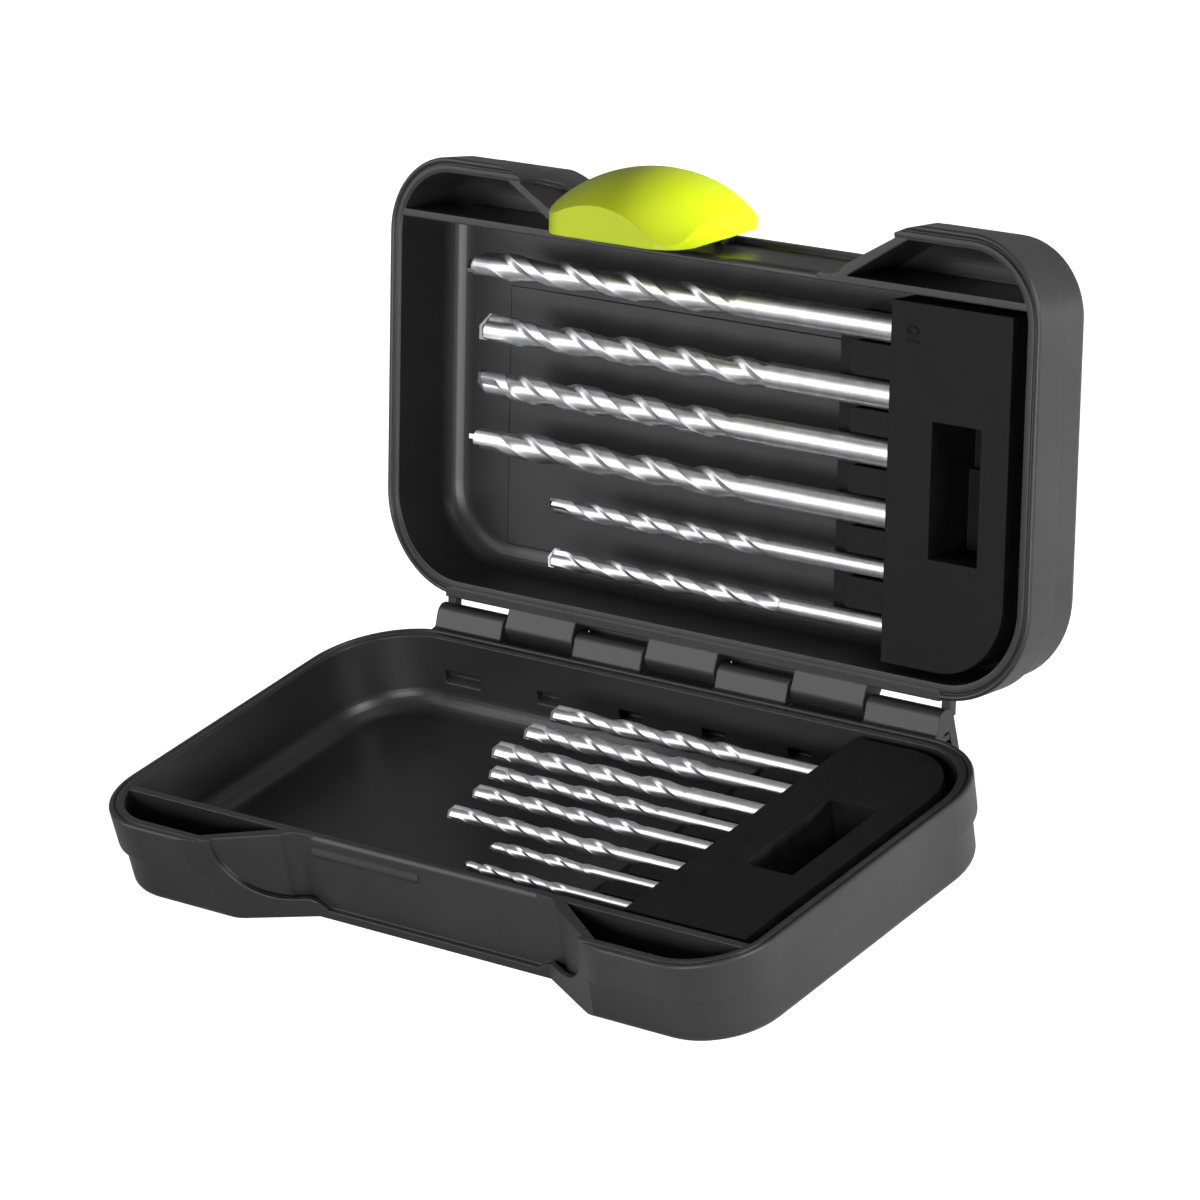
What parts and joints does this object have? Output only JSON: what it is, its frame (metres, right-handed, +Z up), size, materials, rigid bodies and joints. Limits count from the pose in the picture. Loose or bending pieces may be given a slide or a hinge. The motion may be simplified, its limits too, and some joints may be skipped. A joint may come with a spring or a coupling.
{
  "type": "drill bit case",
  "caption": "Opened hinged case of dark plastic with a clip-over latch; blocks at one end of each half hold masonry drill bits with hard tips that slide out of their sockets.",
  "frame": {"origin": "centre of the base's flat underside, with the case opened", "axes": "+X along the hinge towards the end with the bit holders, +Y from the latch side to the hinge, +Z up"},
  "size_m": [0.205, 0.1706, 0.1387],
  "materials": {
    "shell": "fine satin, moulded polypropylene",
    "holder": "matt, slightly mottled",
    "latch": "smooth satin lime",
    "bit_steel": "ground and blasted steel",
    "hard_tip": "ground hard metal",
    "steel": "drawn wire"
  },
  "bodies": {
    "base": {"base_shell": "shell", "hinge_pin": "steel", "base_holder": "holder"},
    "lid": {"lid_shell": "shell", "lid_holder": "holder", "latch_pin": "steel"},
    "latch": {"latch": "latch"},
    "base_drill_1": {"base_bit_1": "bit_steel", "base_tip_1": "hard_tip"},
    "base_drill_2": {"base_bit_2": "bit_steel", "base_tip_2": "hard_tip"},
    "base_drill_3": {"base_bit_3": "bit_steel", "base_tip_3": "hard_tip"},
    "base_drill_4": {"base_bit_4": "bit_steel", "base_tip_4": "hard_tip"},
    "base_drill_5": {"base_bit_5": "bit_steel", "base_tip_5": "hard_tip"},
    "base_drill_6": {"base_bit_6": "bit_steel", "base_tip_6": "hard_tip"},
    "base_drill_7": {"base_bit_7": "bit_steel", "base_tip_7": "hard_tip"},
    "base_drill_8": {"base_bit_8": "bit_steel", "base_tip_8": "hard_tip"},
    "lid_drill_1": {"lid_bit_1": "bit_steel", "lid_tip_1": "hard_tip"},
    "lid_drill_2": {"lid_bit_2": "bit_steel", "lid_tip_2": "hard_tip"},
    "lid_drill_3": {"lid_bit_3": "bit_steel", "lid_tip_3": "hard_tip"},
    "lid_drill_4": {"lid_bit_4": "bit_steel", "lid_tip_4": "hard_tip"},
    "lid_drill_5": {"lid_bit_5": "bit_steel", "lid_tip_5": "hard_tip"},
    "lid_drill_6": {"lid_bit_6": "bit_steel", "lid_tip_6": "hard_tip"}
  },
  "joints": [
    {"name": "lid_hinge", "type": "hinge", "parent": "base", "child": "lid", "pos_m": [0, 0.0612, 0.0235], "axis": [1, 0, 0], "range_deg": [0, 106.8]},
    {"name": "latch_hinge", "type": "hinge", "parent": "lid", "child": "latch", "pos_m": [-0.0192, 0.10861, 0.12137], "axis": [-1, 0, 0], "range_deg": [-1, 60]},
    {"name": "base_slide_1", "type": "slide", "parent": "base", "child": "base_drill_1", "axis": [-1, 0, 0], "range_m": [0, 0.014]},
    {"name": "base_slide_2", "type": "slide", "parent": "base", "child": "base_drill_2", "axis": [-1, 0, 0], "range_m": [0, 0.014]},
    {"name": "base_slide_3", "type": "slide", "parent": "base", "child": "base_drill_3", "axis": [-1, 0, 0], "range_m": [0, 0.014]},
    {"name": "base_slide_4", "type": "slide", "parent": "base", "child": "base_drill_4", "axis": [-1, 0, 0], "range_m": [0, 0.014]},
    {"name": "base_slide_5", "type": "slide", "parent": "base", "child": "base_drill_5", "axis": [-1, 0, 0], "range_m": [0, 0.014]},
    {"name": "base_slide_6", "type": "slide", "parent": "base", "child": "base_drill_6", "axis": [-1, 0, 0], "range_m": [0, 0.014]},
    {"name": "base_slide_7", "type": "slide", "parent": "base", "child": "base_drill_7", "axis": [-1, 0, 0], "range_m": [0, 0.014]},
    {"name": "base_slide_8", "type": "slide", "parent": "base", "child": "base_drill_8", "axis": [-1, 0, 0], "range_m": [0, 0.014]},
    {"name": "lid_slide_1", "type": "slide", "parent": "lid", "child": "lid_drill_1", "axis": [-1, 0, 0], "range_m": [0, 0.014]},
    {"name": "lid_slide_2", "type": "slide", "parent": "lid", "child": "lid_drill_2", "axis": [-1, 0, 0], "range_m": [0, 0.014]},
    {"name": "lid_slide_3", "type": "slide", "parent": "lid", "child": "lid_drill_3", "axis": [-1, 0, 0], "range_m": [0, 0.014]},
    {"name": "lid_slide_4", "type": "slide", "parent": "lid", "child": "lid_drill_4", "axis": [-1, 0, 0], "range_m": [0, 0.014]},
    {"name": "lid_slide_5", "type": "slide", "parent": "lid", "child": "lid_drill_5", "axis": [-1, 0, 0], "range_m": [0, 0.014]},
    {"name": "lid_slide_6", "type": "slide", "parent": "lid", "child": "lid_drill_6", "axis": [-1, 0, 0], "range_m": [0, 0.014]}
  ]
}
